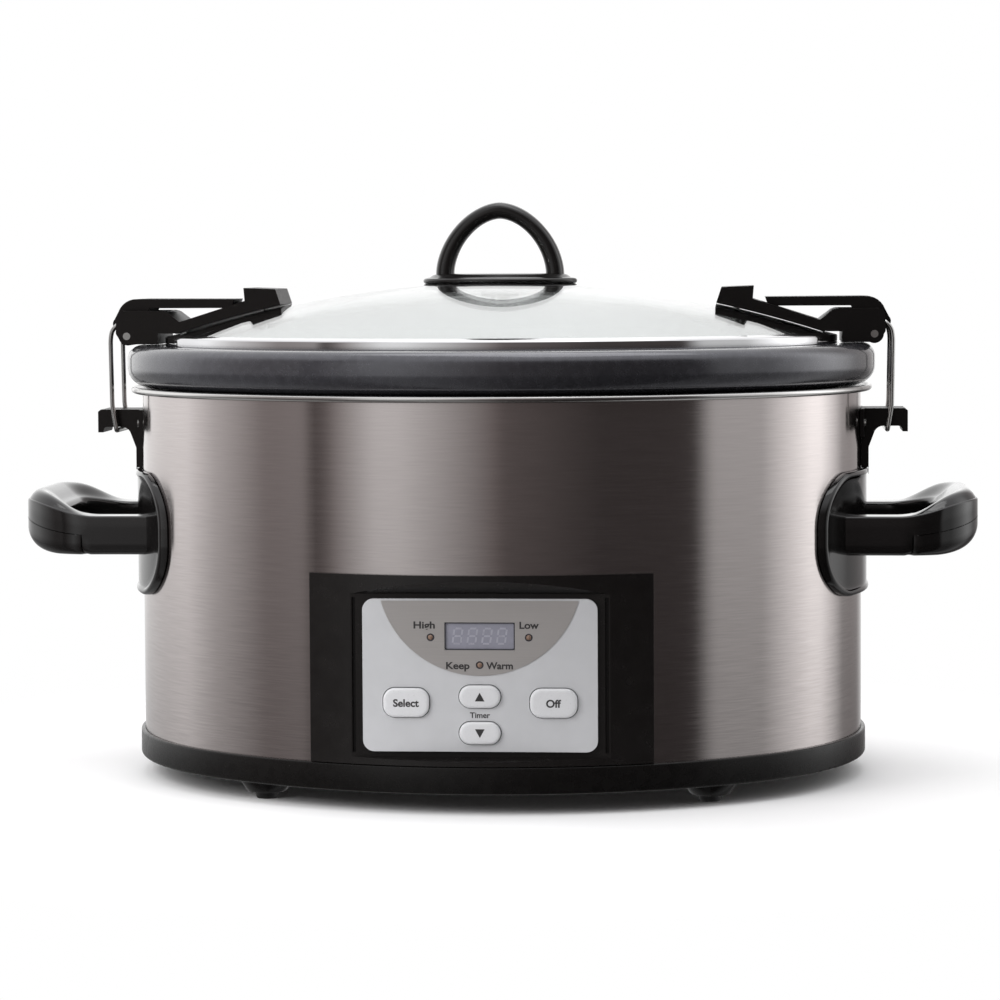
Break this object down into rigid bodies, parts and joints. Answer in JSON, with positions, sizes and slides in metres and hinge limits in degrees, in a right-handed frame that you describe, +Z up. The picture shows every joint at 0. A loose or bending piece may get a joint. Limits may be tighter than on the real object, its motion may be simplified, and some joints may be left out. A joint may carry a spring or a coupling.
{
  "type": "slow cooker",
  "caption": "Oval countertop slow cooker with a digital front panel, stoneware insert, domed glass lid, side carry handles and swing-over lid latches.",
  "frame": {"origin": "centre of the footprint on the table, under the middle of the cooker", "axes": "+Z up, +X to the right as seen by a person facing the control panel, control panel faces -Y"},
  "size_m": [0.444, 0.287, 0.2668],
  "materials": {
    "skirt_plastic": "satin",
    "shell_steel": "horizontally brushed, dark tint",
    "bright_steel": "bright rolled steel",
    "mica_heater": "foil-faced heater band",
    "fibre_blanket": "glass-fibre blanket",
    "aluminium_sheet": "mill finish",
    "brass": "plain",
    "steel_wire": "plain bright steel",
    "fuse_ceramic": "plain",
    "board_green": "solder mask",
    "dark_plastic": "plain",
    "white_plastic": "plain",
    "wire_insulation": "silicone insulation",
    "bezel_plastic": "satin gloss",
    "silver_face": "silver lacquer",
    "brushed_trim": "fine horizontal brushing",
    "window_glass": "tinted window",
    "lamp_lens": "tinted lens",
    "foot_rubber": "plain",
    "gloss_black": "high gloss",
    "satin_black": "satin",
    "silver_button": "silver lacquer",
    "stoneware_glaze": "dark metallic speckled glaze",
    "lid_glass": "clear tempered glass",
    "polished_rim": "polished",
    "gasket_rubber": "silicone"
  },
  "bodies": {
    "base": {"base_pan": "skirt_plastic", "outer_shell": "shell_steel", "heating_well": "bright_steel", "heater_band": "mica_heater", "insulation_blanket": "fibre_blanket", "heat_shield": "aluminium_sheet", "sensor_cup": "brass", "sensor_spring": "steel_wire", "thermal_fuse": "fuse_ceramic", "power_board": "board_green", "control_board": "board_green", "tact_switches": "dark_plastic", "display_module": "white_plastic", "wiring_harness": "wire_insulation", "panel_bezel": "bezel_plastic", "faceplate": "silver_face", "display_surround": "brushed_trim", "display_window": "window_glass", "indicator_lights": "lamp_lens", "bezel_screws": "steel_wire", "base_screws": "steel_wire", "rubber_feet": "foot_rubber", "cord_grommet": "foot_rubber", "left_handle_plate": "gloss_black", "right_handle_plate": "gloss_black", "left_handle": "gloss_black", "right_handle": "gloss_black", "left_handle_cap": "gloss_black", "right_handle_cap": "gloss_black", "handle_screws": "steel_wire", "left_hook_bracket": "satin_black", "right_hook_bracket": "satin_black", "hook_rivets": "steel_wire"},
    "crock": {"stoneware_crock": "stoneware_glaze"},
    "lid": {"lid_glass": "lid_glass", "lid_rim_band": "polished_rim", "lid_gasket": "gasket_rubber", "knob_base": "gloss_black", "knob_handle": "gloss_black", "knob_washer": "gasket_rubber", "knob_screw": "steel_wire", "left_latch_arm": "satin_black", "right_latch_arm": "satin_black", "left_latch_pin": "steel_wire", "right_latch_pin": "steel_wire", "latch_screws": "steel_wire"},
    "left_lever": {"left_latch_lever": "satin_black"},
    "right_lever": {"right_latch_lever": "satin_black"},
    "left_bail": {"left_latch_bail": "steel_wire"},
    "right_bail": {"right_latch_bail": "steel_wire"},
    "select_key": {"select_button": "silver_button"},
    "off_key": {"off_button": "silver_button"},
    "up_key": {"timer_up_button": "silver_button"},
    "down_key": {"timer_down_button": "silver_button"}
  },
  "joints": [
    {"name": "crock_lift", "type": "slide", "parent": "base", "child": "crock", "axis": [0, 0, 1], "range_m": [0, 0.17]},
    {"name": "lid_lift", "type": "slide", "parent": "crock", "child": "lid", "axis": [0, 0, 1], "range_m": [0, 0.12]},
    {"name": "left_lever_pivot", "type": "hinge", "parent": "lid", "child": "left_lever", "pos_m": [-0.1745, 0, 0.2048], "axis": [0, -1, 0], "range_deg": [0, 110]},
    {"name": "left_bail_pivot", "type": "hinge", "parent": "left_lever", "child": "left_bail", "pos_m": [-0.17932, 0, 0.21055], "axis": [0, -1, 0], "range_deg": [-127, 0]},
    {"name": "right_lever_pivot", "type": "hinge", "parent": "lid", "child": "right_lever", "pos_m": [0.1745, 0, 0.2048], "axis": [0, 1, 0], "range_deg": [0, 110]},
    {"name": "right_bail_pivot", "type": "hinge", "parent": "right_lever", "child": "right_bail", "pos_m": [0.17932, 0, 0.21055], "axis": [0, 1, 0], "range_deg": [-127, 0]},
    {"name": "select_press", "type": "slide", "parent": "base", "child": "select_key", "axis": [0, 1, 0], "range_m": [0, 0.001], "stiffness_N_per_m": 700, "springref_m": -0.001},
    {"name": "off_press", "type": "slide", "parent": "base", "child": "off_key", "axis": [0, 1, 0], "range_m": [0, 0.001], "stiffness_N_per_m": 700, "springref_m": -0.001},
    {"name": "up_press", "type": "slide", "parent": "base", "child": "up_key", "axis": [0, 1, 0], "range_m": [0, 0.001], "stiffness_N_per_m": 700, "springref_m": -0.001},
    {"name": "down_press", "type": "slide", "parent": "base", "child": "down_key", "axis": [0, 1, 0], "range_m": [0, 0.001], "stiffness_N_per_m": 700, "springref_m": -0.001}
  ],
  "couplings": [
    {"joint": "left_bail_pivot", "follows": "left_lever_pivot", "ratio": -1.15},
    {"joint": "right_bail_pivot", "follows": "right_lever_pivot", "ratio": -1.15}
  ]
}
